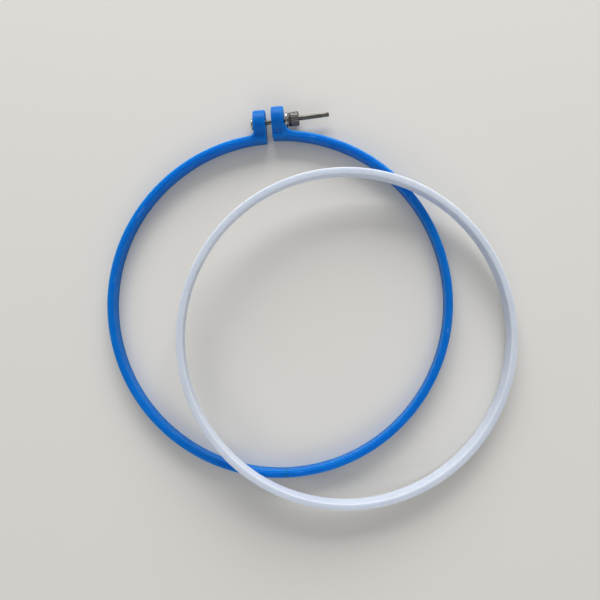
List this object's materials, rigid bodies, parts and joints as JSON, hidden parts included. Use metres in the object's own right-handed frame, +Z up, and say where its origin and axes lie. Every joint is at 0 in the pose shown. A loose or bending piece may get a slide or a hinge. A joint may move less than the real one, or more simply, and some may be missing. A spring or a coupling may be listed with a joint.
{
  "type": "embroidery hoop",
  "caption": "Screw-tension embroidery hoop: a split outer ring with two lugs, a bolt and a knurled nut, and a closed inner ring leaning across it.",
  "frame": {"origin": "middle of the whole hoop's footprint, on the surface that it lies on", "axes": "+Z up from that surface, +Y towards the split in the outer ring, +X across it, towards the bolt's free end; the bolt itself is 3.9 degrees off +X, towards +Y"},
  "size_m": [0.2444, 0.2432, 0.0277],
  "materials": {
    "blue_plastic": "moulded, softly glossy",
    "white_plastic": "moulded, softly glossy",
    "bolt_steel": "rolled thread, dull",
    "bright_steel": "bright plated",
    "nickel_nut": "turned and knurled, nickel plated"
  },
  "bodies": {
    "hoop": {"outer_ring": "blue_plastic", "bolt": "bolt_steel"},
    "loose_ring": {"inner_ring": "white_plastic"},
    "washer": {"washer": "bright_steel"},
    "nut": {"nut": "nickel_nut"}
  },
  "joints": [
    {"name": "inner_ring_lift", "type": "slide", "parent": "hoop", "child": "loose_ring", "axis": [0, 0, 1], "range_m": [0, 0.06]},
    {"name": "washer_travel", "type": "slide", "parent": "hoop", "child": "washer", "axis": [0.9977, 0.068, 0], "range_m": [-0.003, 0.006], "deforming": ["outer_ring"]},
    {"name": "nut_spin", "type": "hinge", "parent": "washer", "child": "nut", "pos_m": [-0.00273, 0.11352, 0.006], "axis": [0.9977, 0.068, 0], "range_deg": [-2160, 4320]}
  ],
  "couplings": [
    {"joint": "nut_spin", "follows": "washer_travel", "rad_per_m": 12566}
  ]
}
